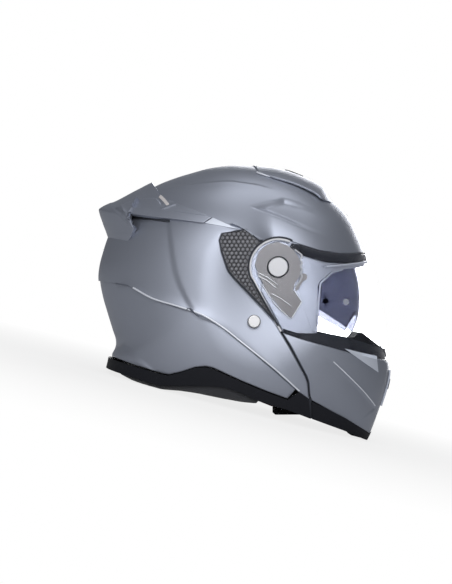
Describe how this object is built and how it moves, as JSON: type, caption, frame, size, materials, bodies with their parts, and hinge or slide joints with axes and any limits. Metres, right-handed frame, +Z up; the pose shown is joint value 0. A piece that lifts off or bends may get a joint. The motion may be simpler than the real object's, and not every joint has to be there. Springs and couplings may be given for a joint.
{
  "type": "flip-up motorcycle helmet",
  "caption": "Modular motorcycle helmet with a flip-up chin bar, hinged clear visor, drop-down tinted sun visor, sliding vents and a padded lining.",
  "frame": {"origin": "under the middle of the whole helmet, on the table it stands on", "axes": "+X forward, out of the face opening; +Y to the wearer's left; +Z up"},
  "size_m": [0.3812, 0.257, 0.2837],
  "materials": {
    "paint": "satin metallic blue-grey paint",
    "black_plastic": "fine matt moulding",
    "grille_black": "hexagonal mesh relief",
    "plate_grey": "translucent warm grey moulding",
    "steel": "zinc plated",
    "white_plastic": "smooth",
    "chrome": "polished dome",
    "clear_glass": "clear polycarbonate",
    "tinted_glass": "smoke-blue tint",
    "rubber": "soft matt",
    "foam": "moulded bead foam",
    "lining": "brushed knit over foam",
    "webbing": "woven webbing",
    "red_ribbon": "woven ribbon"
  },
  "bodies": {
    "shell": {"outer_shell": "paint", "eyeport_frame": "paint", "hinge_pins": "steel", "eyeport_seal": "rubber", "impact_liner": "foam", "sun_visor_pins": "steel", "strap_rivets": "chrome", "crown_pad": "lining", "cheek_pad_right": "lining", "cheek_pad_left": "lining", "neck_roll": "lining", "base_trim": "black_plastic", "latch_cover_right": "black_plastic", "latch_cover_left": "black_plastic", "striker_pins": "steel", "side_grille_right": "grille_black", "side_grille_left": "grille_black", "rear_spoiler": "paint", "top_vent_housing": "paint", "chin_strap_right": "webbing", "chin_strap_left": "webbing", "buckle_frame": "black_plastic", "strap_tongue": "black_plastic"},
    "chin_bar": {"chin_bar_shell": "paint", "chin_bar_liner": "foam", "chin_trim": "black_plastic", "visor_gasket": "rubber", "breath_guard": "black_plastic", "chin_vent_housing": "paint", "mechanism_plate_right": "plate_grey", "mechanism_plate_left": "plate_grey", "pivot_screws": "white_plastic", "hook_pins": "steel"},
    "visor": {"visor": "clear_glass", "visor_pins": "white_plastic"},
    "sun_visor": {"sun_visor": "tinted_glass"},
    "sun_slider": {"sun_slider": "black_plastic"},
    "top_vent_slider": {"top_vent_slider": "black_plastic"},
    "chin_vent_slider": {"chin_vent_slider": "black_plastic"},
    "release_button": {"release_button": "black_plastic"},
    "latch_hook_right": {"latch_hook_right": "steel"},
    "latch_hook_left": {"latch_hook_left": "steel"},
    "visor_lever_right": {"visor_lever_right": "plate_grey"},
    "visor_lever_left": {"visor_lever_left": "plate_grey"},
    "buckle_lever": {"buckle_lever": "steel", "lever_tab": "red_ribbon"}
  },
  "joints": [
    {"name": "chin_bar_hinge", "type": "hinge", "parent": "shell", "child": "chin_bar", "pos_m": [0.01566, 0, 0.18271], "axis": [0, -1, 0], "range_deg": [0, 68]},
    {"name": "visor_hinge", "type": "hinge", "parent": "chin_bar", "child": "visor", "pos_m": [0.01925, 0, 0.1663], "axis": [0, 1, 0], "range_deg": [-45, 0]},
    {"name": "sun_slider_slide", "type": "slide", "parent": "shell", "child": "sun_slider", "axis": [0.9866, 0, -0.1633], "range_m": [0, 0.022]},
    {"name": "sun_visor_hinge", "type": "hinge", "parent": "shell", "child": "sun_visor", "pos_m": [0.01534, 0, 0.12906], "axis": [0, -1, 0], "range_deg": [0, 36]},
    {"name": "top_vent_slide", "type": "slide", "parent": "shell", "child": "top_vent_slider", "axis": [-0.9808, 0, 0.195], "range_m": [0, 0.008]},
    {"name": "chin_vent_slide", "type": "slide", "parent": "chin_bar", "child": "chin_vent_slider", "axis": [-0.0637, 0, 0.998], "range_m": [0, 0.0025]},
    {"name": "release_button_slide", "type": "slide", "parent": "chin_bar", "child": "release_button", "axis": [-0.9677, 0, -0.2521], "range_m": [0, 0.004], "stiffness_N_per_m": 1500, "springref_m": -0.001},
    {"name": "latch_hook_right_turn", "type": "hinge", "parent": "chin_bar", "child": "latch_hook_right", "pos_m": [0.10314, 0, 0.03875], "axis": [0, 1, 0], "range_deg": [0, 12]},
    {"name": "latch_hook_left_turn", "type": "hinge", "parent": "chin_bar", "child": "latch_hook_left", "pos_m": [0.10314, 0, 0.03875], "axis": [0, 1, 0], "range_deg": [0, 12]},
    {"name": "visor_lever_right_turn", "type": "hinge", "parent": "chin_bar", "child": "visor_lever_right", "pos_m": [0.04618, 0, 0.14786], "axis": [0, 1, 0], "range_deg": [0, 14], "stiffness_Nm_per_rad": 0.02, "springref_deg": -11.46},
    {"name": "visor_lever_left_turn", "type": "hinge", "parent": "chin_bar", "child": "visor_lever_left", "pos_m": [0.04618, 0, 0.14786], "axis": [0, 1, 0], "range_deg": [0, 14], "stiffness_Nm_per_rad": 0.02, "springref_deg": -11.46},
    {"name": "buckle_lever_hinge", "type": "hinge", "parent": "shell", "child": "buckle_lever", "pos_m": [0.07943, -0.021, 0.01137], "axis": [0.9677, 0, 0.2521], "range_deg": [0, 50]}
  ],
  "couplings": [
    {"joint": "sun_visor_hinge", "follows": "sun_slider_slide", "rad_per_m": 28.531},
    {"joint": "latch_hook_right_turn", "follows": "release_button_slide", "rad_per_m": 52.307},
    {"joint": "latch_hook_left_turn", "follows": "release_button_slide", "rad_per_m": 52.307}
  ]
}
